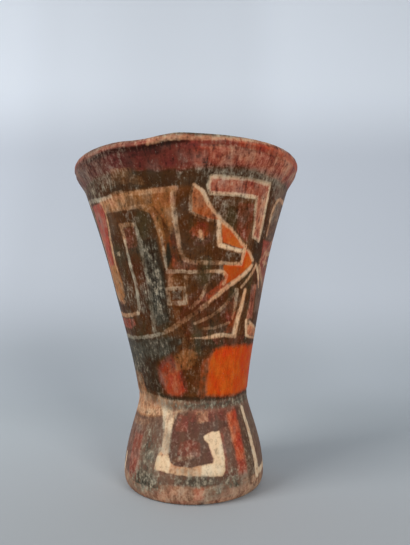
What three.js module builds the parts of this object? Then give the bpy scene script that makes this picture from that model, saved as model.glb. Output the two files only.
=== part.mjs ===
// Kero: a tall flared drinking cup of hand-built, slip-painted earthenware, with a pinched waist and a bell foot.
// It is raised on a flat disc of clay in flattened coils. Each coil is luted to the next along a slanted joint,
// and the last two are turned out into a collar and a rounded lip.
// Millimetres, +Z up, origin at the centre of the flat underside, painted front towards -Y.

import * as THREE from "three";
import { mergeVertices } from "three/addons/utils/BufferGeometryUtils.js";

// Outline, from the table up. The whole cup stands 165 mm high.
const CONTACT_RADIUS = 32.5; // flat part of the underside
const EDGE_RISE = 6; // rounded lower edge of the foot
const FOOT_RADIUS = 36.4;
const BELL_RISE = 38; // from the foot's widest ring up to the waist
const BELL_FULLNESS = 0.77; // under 1 swells the bell outwards
const WAIST_RADIUS = 28.2;
const BEAKER_RISE = 106; // from the waist to the bend of the collar
const BEAKER_FLARE = 1.28; // over 1 makes the wall hollow, like a trumpet
const COLLAR_RADIUS = 53.6;
const COLLAR_RISE = 12; // from the bend of the collar to the middle of the lip
const MOUTH_RADIUS = 59.5; // widest ring of the lip

// Clay thickness, measured level
const DISC_SHOULDER = 1; // the disc reaches this far above its rounded edge
const FOOT_WALL = 8;
const WAIST_WALL = 7.5;
const LIP_THICKNESS = 6;
const FLOOR_FILLET = 4; // clay smeared into the corner between floor and wall

// Coils and their joints
const FOOT_COILS = 2;
const WAIST_COIL_RISE = 18; // one stout coil, with the waist at its middle
const WALL_COILS = 5;
const COLLAR_COIL_DROP = 10; // its lower joint lies this far under the bend
const LIP_COIL_DROP = 4.5; // its lower joint lies this far under the middle of the lip
const JOINT_SLANT = 4; // each joint rises by this much from the outside to the inside

// How the hand-built cup wanders from a true round form
const LEAN = THREE.MathUtils.degToRad(1.4); // the axis leans to the left, -X
const SWAY = 0.5; // and bends to either side of that line
const RIM_TILT = THREE.MathUtils.degToRad(1.4); // the mouth is lower on the left

// Fineness
const SEGMENTS = 64;
const STEP = 6; // longest step up a wall
const ROUND_STEPS = 10; // over the half round of the lip
const CORNER_STEPS = 4; // over a quarter round

const DISC_THICKNESS = EDGE_RISE + DISC_SHOULDER;
const WAIST_HEIGHT = EDGE_RISE + BELL_RISE;
const BEND_HEIGHT = WAIST_HEIGHT + BEAKER_RISE;
const LIP_MIDDLE = BEND_HEIGHT + COLLAR_RISE;
const HEIGHT = LIP_MIDDLE + LIP_THICKNESS / 2;

const clays = {
  bare: new THREE.MeshStandardMaterial({ color: 0x7d5a46, roughness: 0.85, metalness: 0 }),
  foot: new THREE.MeshStandardMaterial({ color: 0x856751, roughness: 0.6, metalness: 0 }),
  waist: new THREE.MeshStandardMaterial({ color: 0x6f5a48, roughness: 0.65, metalness: 0 }),
  band: new THREE.MeshStandardMaterial({ color: 0x96431f, roughness: 0.5, metalness: 0 }),
  wall: new THREE.MeshStandardMaterial({ color: 0x694b35, roughness: 0.55, metalness: 0 }),
  rim: new THREE.MeshStandardMaterial({ color: 0x875443, roughness: 0.5, metalness: 0 }),
};

// Outer radius at a height: a smooth bell below the waist, a power curve above it, and a turned-out collar that
// meets the lip upright.
function outerRadius(z) {
  if (z <= WAIST_HEIGHT) {
    const down = THREE.MathUtils.clamp((WAIST_HEIGHT - z) / BELL_RISE, 0, 1) ** BELL_FULLNESS;
    return THREE.MathUtils.lerp(WAIST_RADIUS, FOOT_RADIUS, THREE.MathUtils.smoothstep(down, 0, 1));
  }
  const swell = COLLAR_RADIUS - WAIST_RADIUS;
  if (z <= BEND_HEIGHT) {
    return WAIST_RADIUS + swell * ((z - WAIST_HEIGHT) / BEAKER_RISE) ** BEAKER_FLARE;
  }
  const slope = (swell * BEAKER_FLARE) / BEAKER_RISE;
  const t = Math.min((z - BEND_HEIGHT) / COLLAR_RISE, 1);
  const bendShare = 2 * t ** 3 - 3 * t ** 2 + 1;
  const leaving = (t ** 3 - 2 * t ** 2 + t) * slope * COLLAR_RISE;
  return bendShare * COLLAR_RADIUS + leaving + (1 - bendShare) * MOUTH_RADIUS;
}

function wallThickness(z) {
  return z < WAIST_HEIGHT
    ? THREE.MathUtils.mapLinear(z, 0, WAIST_HEIGHT, FOOT_WALL, WAIST_WALL)
    : THREE.MathUtils.mapLinear(z, WAIST_HEIGHT, LIP_MIDDLE, WAIST_WALL, LIP_THICKNESS);
}

const innerRadius = (z) => outerRadius(z) - wallThickness(z);

// Points (radius, height) along a wall from one height to another, with both ends exact.
function wallPoints(radiusAt, from, to) {
  const steps = Math.max(1, Math.ceil(Math.abs(to - from) / STEP));
  return Array.from({ length: steps + 1 }, (_, i) => {
    const z = i === steps ? to : from + ((to - from) * i) / steps;
    return new THREE.Vector2(radiusAt(z), z);
  });
}

// Points on an ellipse's arc about (radius, height), between two angles counted from the outward direction.
function arcPoints(radius, height, halfWidth, halfHeight, fromDegrees, toDegrees, steps) {
  return Array.from({ length: steps + 1 }, (_, i) => {
    const angle = THREE.MathUtils.degToRad(fromDegrees + ((toDegrees - fromDegrees) * i) / steps);
    return new THREE.Vector2(radius + halfWidth * Math.cos(angle), height + halfHeight * Math.sin(angle));
  });
}

// A joint cuts the wall on a slant, low outside and high inside. Both coils that share it use these heights.
function joint(height, slant = JOINT_SLANT) {
  return { outside: height - slant / 2, inside: height + slant / 2 };
}

// Joints that share a stretch of wall out evenly among its coils.
function evenJoints(from, to, coils) {
  return Array.from({ length: coils - 1 }, (_, i) => joint(from + ((to - from) * (i + 1)) / coils));
}

const discJoint = joint(DISC_THICKNESS, 0);
const waistJoints = [-1, 1].map((side) => joint(WAIST_HEIGHT + (side * WAIST_COIL_RISE) / 2));
const collarJoint = joint(BEND_HEIGHT - COLLAR_COIL_DROP);
const lipJoint = joint(LIP_MIDDLE - LIP_COIL_DROP);

// The axis leans and sways, and the tilt of the mouth is taken up between the collar's two joints. Each ring of
// points moves as a whole and stays flat, so neighbouring coils still meet face to face.
function shapeByHand(geometry) {
  const place = geometry.attributes.position;
  for (let i = 0; i < place.count; i++) {
    const z = place.getZ(i);
    const x = place.getX(i) - Math.tan(LEAN) * z + SWAY * Math.sin((2 * Math.PI * z) / HEIGHT);
    const tiltShare = THREE.MathUtils.smoothstep(z, collarJoint.inside, lipJoint.outside);
    place.setX(i, x);
    place.setZ(i, z + Math.tan(RIM_TILT) * x * tiltShare);
  }
  return geometry;
}

// A round solid from a profile that runs up the outside and back down the inside.
function turned(name, profile, material) {
  const geometry = new THREE.LatheGeometry(profile, SEGMENTS);
  geometry.rotateX(Math.PI / 2);
  geometry.deleteAttribute("normal");
  geometry.deleteAttribute("uv");
  const solid = shapeByHand(mergeVertices(geometry));
  solid.computeVertexNormals();
  const mesh = new THREE.Mesh(solid, material);
  mesh.name = name;
  return mesh;
}

// The flat disc that the cup is raised on, with the foot's rounded edge.
function baseDisc() {
  const edgeWidth = FOOT_RADIUS - CONTACT_RADIUS;
  const profile = [
    new THREE.Vector2(0, 0),
    ...arcPoints(CONTACT_RADIUS, EDGE_RISE, edgeWidth, EDGE_RISE, -90, 0, CORNER_STEPS),
    ...wallPoints(outerRadius, EDGE_RISE, discJoint.outside).slice(1),
    new THREE.Vector2(0, discJoint.inside),
  ];
  return turned("base_disc", profile, clays.bare);
}

// One coil of the wall between two joints.
function coil(name, below, above, material) {
  const up = wallPoints(outerRadius, below.outside, above.outside);
  const down = wallPoints(innerRadius, above.inside, below.inside);
  return turned(name, [...up, ...down, up[0]], material);
}

// The first coil stands flat on the disc, and its inner corner is smeared out over the floor.
function firstCoil(name, above) {
  const cornerTop = discJoint.inside + FLOOR_FILLET;
  const cornerCentre = innerRadius(cornerTop) - FLOOR_FILLET;
  const up = wallPoints(outerRadius, discJoint.outside, above.outside);
  const down = wallPoints(innerRadius, above.inside, cornerTop);
  const corner = arcPoints(cornerCentre, cornerTop, FLOOR_FILLET, FLOOR_FILLET, 0, -90, CORNER_STEPS);
  return turned(name, [...up, ...down, ...corner.slice(1), up[0]], clays.foot);
}

// The last coil, rolled over into the round lip.
function lipCoil() {
  const half = LIP_THICKNESS / 2;
  const up = wallPoints(outerRadius, lipJoint.outside, LIP_MIDDLE);
  const over = arcPoints(MOUTH_RADIUS - half, LIP_MIDDLE, half, half, 0, 180, ROUND_STEPS).slice(1, -1);
  const down = wallPoints(innerRadius, LIP_MIDDLE, lipJoint.inside);
  return turned("lip_coil", [...up, ...over, ...down, up[0]], clays.rim);
}

const footJoints = [...evenJoints(discJoint.inside, WAIST_HEIGHT - WAIST_COIL_RISE / 2, FOOT_COILS), waistJoints[0]];
const wallJoints = [
  waistJoints[1],
  ...evenJoints(WAIST_HEIGHT + WAIST_COIL_RISE / 2, BEND_HEIGHT - COLLAR_COIL_DROP, WALL_COILS),
  collarJoint,
];

const kero = new THREE.Group();
kero.name = "kero_cup";
kero.add(baseDisc(), firstCoil("foot_coil_1", footJoints[0]));
for (let i = 1; i < FOOT_COILS; i++) {
  kero.add(coil(`foot_coil_${i + 1}`, footJoints[i - 1], footJoints[i], clays.foot));
}
kero.add(coil("waist_coil", waistJoints[0], waistJoints[1], clays.waist));
for (let i = 0; i < WALL_COILS; i++) {
  kero.add(coil(`wall_coil_${i + 1}`, wallJoints[i], wallJoints[i + 1], i === 0 ? clays.band : clays.wall));
}
kero.add(coil("collar_coil", collarJoint, lipJoint, clays.rim), lipCoil());

export default kero;
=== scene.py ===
import math

import bpy
import numpy as np
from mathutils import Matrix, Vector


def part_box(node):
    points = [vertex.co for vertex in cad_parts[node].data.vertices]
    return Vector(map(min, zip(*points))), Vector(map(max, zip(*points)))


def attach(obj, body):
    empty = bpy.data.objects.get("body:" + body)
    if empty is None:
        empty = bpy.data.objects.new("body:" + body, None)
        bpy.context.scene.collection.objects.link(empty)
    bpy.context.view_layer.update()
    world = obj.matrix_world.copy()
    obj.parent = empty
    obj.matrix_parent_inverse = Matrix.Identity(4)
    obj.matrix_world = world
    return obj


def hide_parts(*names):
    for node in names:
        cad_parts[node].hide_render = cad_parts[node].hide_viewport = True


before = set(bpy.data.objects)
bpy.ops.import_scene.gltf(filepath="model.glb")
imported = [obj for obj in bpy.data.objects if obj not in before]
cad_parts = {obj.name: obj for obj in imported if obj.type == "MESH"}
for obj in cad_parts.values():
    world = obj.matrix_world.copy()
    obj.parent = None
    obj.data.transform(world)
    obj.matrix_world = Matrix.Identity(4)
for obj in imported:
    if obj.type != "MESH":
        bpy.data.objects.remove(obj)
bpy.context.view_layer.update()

# Stage
# A seamless sheet of pale blue-grey paper, laid flat under the cup and curved up behind it. It is lit by
# a soft box above and to the left, a weaker one to the right, and an even sky. The camera stands low and
# close.
METRE = 1000.0  # the cup's own sizes below are in millimetres

CAMERA_PLACE = (0.0, -0.2553, 0.0933)
CAMERA_TILT = math.radians(3.46)
CAMERA_PAN = math.radians(1.29)
FOCAL_SHARE = 471.5 / 545  # focal length as a share of the picture's height
SENSOR = 36.0

camera_data = bpy.data.cameras.new("camera")
camera_data.sensor_width = SENSOR
camera_data.lens = SENSOR * FOCAL_SHARE
camera = bpy.data.objects.new("camera", camera_data)
camera.location = CAMERA_PLACE
camera.rotation_euler = (math.pi / 2 + CAMERA_TILT, 0, -CAMERA_PAN)
bpy.context.scene.collection.objects.link(camera)
bpy.context.scene.camera = camera
bpy.context.scene.view_settings.view_transform = "Standard"


def add_node(tree, kind, inputs=(), **settings):
    """Adds a shader node. Each input is a value, or the output of another node to link."""
    made = tree.nodes.new("ShaderNode" + kind)
    for name, value in settings.items():
        setattr(made, name, value)
    for key, value in dict(inputs).items():
        if isinstance(value, bpy.types.NodeSocket):
            tree.links.new(value, made.inputs[key])
        else:
            made.inputs[key].default_value = value
    return made


def math_node(tree, operation, *values, clamp=False):
    """The result of a Math node."""
    return add_node(tree, "Math", enumerate(values), operation=operation, use_clamp=clamp).outputs[0]


def mix_colour(tree, share, first, second, blend="MIX"):
    """The colour between first and second, by share."""
    made = add_node(tree, "Mix", data_type="RGBA", blend_type=blend)
    for socket, value in zip((made.inputs[0], made.inputs[6], made.inputs[7]), (share, first, second)):
        if isinstance(value, bpy.types.NodeSocket):
            tree.links.new(value, socket)
        else:
            socket.default_value = value
    return made.outputs[2]


def smooth_step(tree, value, low, high):
    """0 under low and 1 over high, and a smooth rise between."""
    inputs = {0: value, 1: low, 2: high}
    return add_node(tree, "MapRange", inputs, interpolation_type="SMOOTHSTEP").outputs[0]


def paint(red, green, blue):
    """A colour given as the eye reads it, 0 to 255, in the linear numbers that shaders use."""
    share = np.array([red, green, blue]) / 255
    linear = np.where(share <= 0.04045, share / 12.92, ((share + 0.055) / 1.055) ** 2.4)
    return (*linear.tolist(), 1.0)


def new_material(name):
    """A new material and its node tree, with the tree's nodes cleared."""
    material = bpy.data.materials.new(name)
    material.use_nodes = True
    tree = material.node_tree
    tree.nodes.clear()
    return material, tree


SWEEP_NEAR, SWEEP_BEND, SWEEP_RADIUS, SWEEP_TOP = -0.9, 0.16, 0.5, 1.6
SWEEP_HALF_WIDTH = 1.5
SWEEP_STEPS = 64


def paper_sweep():
    """A flat floor, a quarter round and an upright wall, carried sideways."""
    turn = np.linspace(0, math.pi / 2, SWEEP_STEPS)
    wall = SWEEP_BEND + SWEEP_RADIUS
    back = np.concatenate([[SWEEP_NEAR], SWEEP_BEND + SWEEP_RADIUS * np.sin(turn), [wall]])
    up = np.concatenate([[0.0], SWEEP_RADIUS * (1 - np.cos(turn)), [SWEEP_TOP]])
    left = np.stack([np.full_like(back, -SWEEP_HALF_WIDTH), back, up], 1)
    right = left * (-1, 1, 1)
    n = len(back)
    faces = [(i, n + i, n + i + 1, i + 1) for i in range(n - 1)]
    mesh = bpy.data.meshes.new("paper_sweep")
    mesh.from_pydata(np.concatenate([left, right]).tolist(), [], faces)
    mesh.shade_smooth()
    return bpy.data.objects.new("paper_sweep", mesh)


# Painted light on the paper, both by metres: its colour along its way back and up, darker on the floor and
# lighter up the wall, and its tone from left to right, lighter at the sides and darker in the middle
PAPER_PAINTED_LIGHT = [
    (-0.1, paint(176, 181, 184)), (0.1, paint(192, 199, 203)), (0.3, paint(190, 197, 203)),
    (0.6, paint(209, 215, 223)), (1.0, paint(208, 214, 223)), (1.2, paint(236, 242, 250))]
PAPER_PAINTED_SIDE_LIGHT = [(-0.38, 1.09), (-0.26, 1.0), (-0.08, 0.95), (0.08, 0.98), (0.2, 1.08)]
PAPER_ROUGHNESS = 0.9

paper, tree = new_material("pale_paper")
place = add_node(tree, "SeparateXYZ", {0: add_node(tree, "TexCoord").outputs["Object"]})
way = math_node(tree, "ADD", place.outputs["Y"], place.outputs["Z"])
# the painted light: the fade up the paper, then the painted shade and light from side to side
paper_colour_with_painted_light = PAPER_PAINTED_LIGHT[0][1]
for (start, _), (end, colour) in zip(PAPER_PAINTED_LIGHT, PAPER_PAINTED_LIGHT[1:]):
    paper_colour_with_painted_light = mix_colour(tree, smooth_step(tree, way, start, end), paper_colour_with_painted_light, colour)
painted_side_light = PAPER_PAINTED_SIDE_LIGHT[0][1]
for (start, before), (end, after) in zip(PAPER_PAINTED_SIDE_LIGHT, PAPER_PAINTED_SIDE_LIGHT[1:]):
    share = smooth_step(tree, place.outputs["X"], start, end)
    painted_side_light = math_node(tree, "MULTIPLY_ADD", share, after - before, painted_side_light)
toned = add_node(tree, "HueSaturation", {"Value": painted_side_light, "Color": paper_colour_with_painted_light})
shader = add_node(tree, "BsdfPrincipled", {"Base Color": toned.outputs[0], "Roughness": PAPER_ROUGHNESS})
add_node(tree, "OutputMaterial", {0: shader.outputs[0]})

sweep = paper_sweep()
sweep.data.materials.append(paper)
bpy.context.scene.collection.objects.link(sweep)

SOFT_BOXES = [  # name, place, size in metres, power in watts
    ("soft_box_left", (-0.74, -0.42, 0.58), 0.5, 6.2), ("soft_box_right", (0.52, -0.92, 0.37), 0.4, 5.8)]
AIM = (0.0, 0.0, 0.09)
SKY_COLOUR = (0.93, 0.96, 1.0, 1.0)
SKY_STRENGTH = 0.3

for name, spot, size, power in SOFT_BOXES:
    lamp = bpy.data.lights.new(name, "AREA")
    lamp.size = size
    lamp.energy = power
    box = bpy.data.objects.new(name, lamp)
    box.location = spot
    direction = np.subtract(AIM, spot)
    level = math.hypot(direction[0], direction[1])
    box.rotation_euler = (math.atan2(level, -direction[2]), 0, math.atan2(-direction[0], direction[1]))
    bpy.context.scene.collection.objects.link(box)

world = bpy.data.worlds.new("even_sky")
world.use_nodes = True
for socket, value in zip(world.node_tree.nodes["Background"].inputs, (SKY_COLOUR, SKY_STRENGTH)):
    socket.default_value = value
bpy.context.scene.world = world

# Base disc
# The cup is raised on a flat disc of coarse red-brown clay. Its rim is pinched round and smoothed up into
# the foot, and its underside stays bare and is rubbed pale where it stands.
COLUMNS = 900
FINE = 0.42  # step up the outside
COARSE = 1.5  # step down the inside

CONTACT_RADIUS = 32.5
EDGE_RISE = 6.0
FOOT_RADIUS = 36.4
BELL_RISE = 38.0
BELL_FULLNESS = 0.77
WAIST_RADIUS = 28.2
BEAKER_RISE = 106.0
BEAKER_FLARE = 1.28
COLLAR_RADIUS = 53.6
COLLAR_RISE = 12.0
MOUTH_RADIUS = 59.5
FOOT_WALL, WAIST_WALL, LIP_THICKNESS = 8.0, 7.5, 6.0
FLOOR_FILLET = 4.0
LEAN, RIM_TILT = math.radians(1.4), math.radians(1.4)
SWAY = 0.5

WAIST_HEIGHT = EDGE_RISE + BELL_RISE
BEND_HEIGHT = WAIST_HEIGHT + BEAKER_RISE
LIP_MIDDLE = BEND_HEIGHT + COLLAR_RISE
HEIGHT = LIP_MIDDLE + LIP_THICKNESS / 2
DISC_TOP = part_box("base_disc")[1].z * METRE
JOINT_SLANT = (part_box("foot_coil_1")[1].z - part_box("foot_coil_2")[0].z) * METRE

turns = np.arange(COLUMNS) * 2 * math.pi / COLUMNS  # 0 is the painted front, -Y, and a quarter turn is +X


def smooth_share(x):
    """0 below 0, 1 above 1, and 3x^2 - 2x^3 between."""
    x = np.clip(x, 0, 1)
    return x * x * (3 - 2 * x)


def outer_radius(z):
    """A smooth bell under the waist, a power curve above it, and a collar that eases out to the mouth."""
    z = np.asarray(z, float)
    down = np.clip((WAIST_HEIGHT - z) / BELL_RISE, 0, 1) ** BELL_FULLNESS
    bell = WAIST_RADIUS + (FOOT_RADIUS - WAIST_RADIUS) * smooth_share(down)
    swell = COLLAR_RADIUS - WAIST_RADIUS
    beaker = WAIST_RADIUS + swell * np.clip((z - WAIST_HEIGHT) / BEAKER_RISE, 0, 1) ** BEAKER_FLARE
    t = np.clip((z - BEND_HEIGHT) / COLLAR_RISE, 0, 1)
    leaving = (t**3 - 2 * t**2 + t) * swell * BEAKER_FLARE / BEAKER_RISE * COLLAR_RISE
    collar = COLLAR_RADIUS + leaving + (MOUTH_RADIUS - COLLAR_RADIUS) * smooth_share(t)
    return np.where(z <= WAIST_HEIGHT, bell, np.where(z <= BEND_HEIGHT, beaker, collar))


def inner_radius(z):
    """The outside less the wall, which thins from the foot to the lip."""
    wall = np.interp(z, (0, WAIST_HEIGHT, LIP_MIDDLE), (FOOT_WALL, WAIST_WALL, LIP_THICKNESS))
    return outer_radius(z) - wall


def ripples(rise, rows):
    """Smooth random fields over the unrolled wall, added up. Each is a sum of cosines. A cosine goes a
    whole number of times round the cup (around) and once in a height between two lengths (along)."""
    field = 0
    for depth, around, along, waves, seed in rows:
        draw = np.random.default_rng(seed)
        number = draw.integers(around[0], around[1] + 1, waves)
        pace = 2 * math.pi / draw.uniform(*along, waves) * draw.choice((-1, 1), waves)
        start = draw.uniform(0, 2 * math.pi, waves)
        level = np.outer(pace, rise)
        spin = np.outer(number, turns) + start[:, None]
        wave = (np.cos(level).T @ np.cos(spin) - np.sin(level).T @ np.sin(spin)) * math.sqrt(2 / waves)
        field = field + depth * wave
    return field


def degrees_from(centre):
    """Each column's angle from a centre line, in degrees, from -180 to 180."""
    return (np.degrees(turns) - centre + 180) % 360 - 180


def bump_at(rise, centre, middle, half_width, half_height):
    """A round hill of height 1, half_width degrees by half_height millimetres."""
    across = degrees_from(centre) / half_width
    return np.exp(-((rise[:, None] - middle) / half_height) ** 2 - across**2)


# A rise in the rim and a thumb's dent beside it: angle, half width in degrees, lift
RIM_WAVES = [(-3, 7, 0.5), (-20, 9, -1.0)]


def place_on_cup(radius, height):
    """Points in metres at each row's radius and height and each column's turn, with the lean, the sway,
    the tilt and the uneven rim of the hand-built cup."""
    across = radius * np.sin(turns)
    x = across - math.tan(LEAN) * height + SWAY * np.sin(2 * math.pi * height / HEIGHT)
    rim = sum(lift * np.exp(-(degrees_from(angle) / half) ** 2) for angle, half, lift in RIM_WAVES)
    rim = rim * smooth_share((height - BEND_HEIGHT) / COLLAR_RISE)
    z = height * (1 + math.tan(RIM_TILT) * across / HEIGHT) + rim
    return np.stack([x, -radius * np.cos(turns), z], -1) / METRE


class Skin:
    """A stretch of the cup's skin, as rows from its first edge to its last. Each row has a radius and a
    height, and a rise, which is how far along the skin it lies: the height on the outside wall, and then
    the way over the lip and down the inside. A spare row at each end only serves to find the slope."""

    def __init__(self, radius, height, rise, relief):
        along = np.gradient(np.stack([radius, height]), axis=1)
        length = np.hypot(*along)
        out = relief(rise)
        level = radius[:, None] + out * (along[1] / length)[:, None]
        upright = height[:, None] - out * (along[0] / length)[:, None]
        points = place_on_cup(level, upright)
        up = points[2:] - points[:-2]
        side = np.roll(points, -1, 1) - np.roll(points, 1, 1)
        normal = np.cross(side[1:-1], up)
        self.normal = normal / np.linalg.norm(normal, axis=-1, keepdims=True)
        self.points = points[1:-1]
        self.rise = rise[1:-1]
        self.path = np.concatenate([[0], np.cumsum(np.hypot(np.diff(radius[1:-1]), np.diff(height[1:-1])))])
        self.girth = np.radians(np.maximum(radius[1:-1], 1.0))  # millimetres to a degree


# Rows of ripples: depth in millimetres, waves round the cup, millimetres to a wave up it, waves added up,
# and seed. The outside has slow swells and upright facets from the burnishing pebble, the inside swells
# and finger marks.
OUTSIDE_RIPPLES = [
    (0.12, (2, 7), (35, 120), 24, 1), (0.02, (24, 60), (22, 80), 60, 2), (0.003, (90, 200), (8, 30), 60, 3)]
INSIDE_RIPPLES = [(0.12, (2, 6), (20, 60), 24, 4), (0.08, (1, 4), (5, 12), 40, 5)]
BELLY = 0.3  # how far the wall swells out low down, and draws in high up
# The grooves above the waist and under the lip: height, half width, depth
GROOVES = [(46.6, 1.3, 0.22), (160.0, 1.0, 0.35)]


def outside_relief(rise):
    """The hand-worked outside: its ripples, a sine wave up the wall, and a bell curve for each groove."""
    form = BELLY * np.sin(2 * math.pi * np.clip((rise - WAIST_HEIGHT) / BEAKER_RISE, 0, 1))
    for height, half_width, depth in GROOVES:
        form -= depth * np.exp(-((rise - height) / half_width) ** 2)
    return ripples(rise, OUTSIDE_RIPPLES) + form[:, None]


def inside_relief(rise):
    """The wiped inside."""
    return ripples(rise, INSIDE_RIPPLES)


INSIDE_RISE = LIP_MIDDLE + math.pi * LIP_THICKNESS / 2 + LIP_MIDDLE  # rise plus height, down the inside


def outside_skin(bottom, top):
    """The outside wall from one height to another."""
    step = (top - bottom) / math.ceil((top - bottom) / FINE)
    height = np.arange(bottom - step, top + 1.5 * step, step)
    return Skin(outer_radius(height), height, height, outside_relief)


def inside_skin(top, bottom):
    """The inside wall, from its top down."""
    step = (top - bottom) / math.ceil((top - bottom) / COARSE)
    height = np.arange(top + step, bottom - 1.5 * step, -step)
    return Skin(inner_radius(height), height, INSIDE_RISE - height, inside_relief)


FULL = 6.0  # millimetres inside the paint, and as many outside it, where it makes no more difference
FADE_REACH = 4  # a mark is worked out this far round it, times its softness
LINE_SOFTNESS = 1.4  # the edge of a line is this much softer than that of a filled shape
# The slips, in the order in which they lie over each other
SLIPS = {
    "brown": paint(120, 86, 67), "black": paint(44, 35, 22), "maroon": paint(98, 48, 40),
    "red": paint(154, 70, 50), "orange": paint(197, 75, 14), "wine": paint(54, 20, 10),
    "ochre": paint(158, 102, 54), "buff": paint(212, 158, 114), "bone": paint(204, 190, 162),
    "cream": paint(226, 194, 154)}
CLOUDS = ("crust", "rub", "dirt", "film")
marks = []
clouds = []


def stroke(slip, points, width, soft=1.0, cover=FULL):
    """A brushed line through points (angle in degrees, rise), with one width or a width at each point. A
    soft one has a broken edge, and a low cover lets the ground through."""
    widths = np.broadcast_to(np.asarray(width, float), len(points))
    marks.append((slip, "line", np.array(points, float), widths, LINE_SOFTNESS * soft, cover))


def patch(slip, points, soft=1.0, cover=FULL):
    """A filled shape with those corners."""
    marks.append((slip, "fill", np.array(points, float), None, soft, cover))


def coats(brush, points, *rows):
    """Lays several slips over the same points. Each row is a slip and the brush's other values."""
    for slip, *values in rows:
        brush(slip, points, *values)


def ring(slip, low, high, soft=1.0, cover=FULL):
    """A band between two heights, all the way round."""
    marks.append((slip, "ring", np.array([(0, low), (0, high)], float), None, soft, cover))


def cloud(kind, *rows):
    """Soft stains or worn places. Each row is a point (angle, rise), half its width in degrees, half its
    height in millimetres, and how strong it is."""
    clouds.extend((kind, *row) for row in rows)


def to_line(across, up, start, end, girth, widths):
    """Half the width less the distance to a straight stretch, where a degree spans girth millimetres."""
    ax, bx = start[0] * girth, end[0] * girth
    width, height = bx - ax, end[1] - start[1]
    along = (across - ax) * width + (up - start[1]) * height
    share = np.clip(along / (width**2 + height**2 + 1e-9), 0, 1)
    away = np.hypot(across - ax - share * width, up - start[1] - share * height)
    return (widths[0] + share * (widths[1] - widths[0])) / 2 - away


def inside_shape(across, up, corners, girth):
    """True where a level ray crosses the outline an odd number of times."""
    inside = np.zeros(across.shape, bool)
    for start, end in zip(corners, np.roll(corners, -1, 0)):
        if start[1] != end[1]:
            crossing = (start[0] + (up - start[1]) * (end[0] - start[0]) / (end[1] - start[1])) * girth
            inside ^= ((start[1] > up) != (end[1] > up)) & (across < crossing)
    return inside


# How far the painting hand wanders, as rows of ripples
WANDER_ACROSS = [(0.1, (4, 16), (22, 70), 40, 11), (0.05, (20, 50), (7, 20), 40, 12)]
WANDER_UP = [(0.1, (4, 16), (22, 70), 40, 13), (0.05, (20, 50), (7, 20), 40, 14)]


def painted(skin):
    """For each slip, the distance in millimetres to the edge of its paint on this skin, positive inside.
    The design goes twice round the cup. A slow wander of the points makes each line a hand-drawn one."""
    rise = skin.rise
    wander_across, wander_up = ripples(rise, WANDER_ACROSS), ripples(rise, WANDER_UP)
    fields = {slip: np.full((len(rise), COLUMNS), -FULL) for slip in SLIPS}
    for slip, form, points, widths, soft, cover in marks:
        margin = FADE_REACH * soft
        low, high = points[:, 1].min(), points[:, 1].max()
        rows = np.flatnonzero((rise > low - margin) & (rise < high + margin))
        if not len(rows):
            continue
        girth = skin.girth[rows][:, None]
        up = rise[rows][:, None] + wander_up[rows]
        if form == "ring":
            found = np.minimum(np.minimum(up - low, high - up) / soft, cover)
            fields[slip][rows] = np.maximum(fields[slip][rows], found)
            continue
        middle = (points[:, 0].min() + points[:, 0].max()) / 2
        reach = (points[:, 0].max() - points[:, 0].min()) / 2 + margin / girth.min()
        for turn in (0, 180):
            angle = degrees_from(middle + turn)
            columns = np.flatnonzero(abs(angle) < reach)
            window = np.ix_(rows, columns)
            across = (angle[columns] + middle) * girth + wander_across[window]
            rising = up[:, columns]
            if form == "line":
                stretches = zip(points[:-1], points[1:], zip(widths[:-1], widths[1:]))
                found = np.max([to_line(across, rising, a, b, girth, w) for a, b, w in stretches], axis=0)
            else:
                sides = zip(points, np.roll(points, -1, 0))
                found = np.min([-to_line(across, rising, a, b, girth, (0, 0)) for a, b in sides], axis=0)
                found = np.where(inside_shape(across, rising, points, girth), found, -found)
            fields[slip][window] = np.maximum(fields[slip][window], np.minimum(found / soft, cover))
    for kind in CLOUDS:
        fields[kind] = np.zeros((len(rise), COLUMNS))
    for kind, angle, middle, half_width, half_height, strength in clouds:
        for turn in (0, 180):
            fields[kind] += strength * bump_at(rise, angle + turn, middle, half_width, half_height)
    return {name: np.clip(field, -FULL, FULL) for name, field in fields.items()}


JOINT = 2  # material number of a joint face, after the painted skin's and the wiped one's
STRIP_GAP = 1.0  # between the strips of the bake map
JOINT_STRIP = 0.6  # height of a joint face on the bake map
WRAP_RADIUS = 45.0  # surface patterns lie as if the wall were unrolled at this radius


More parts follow.
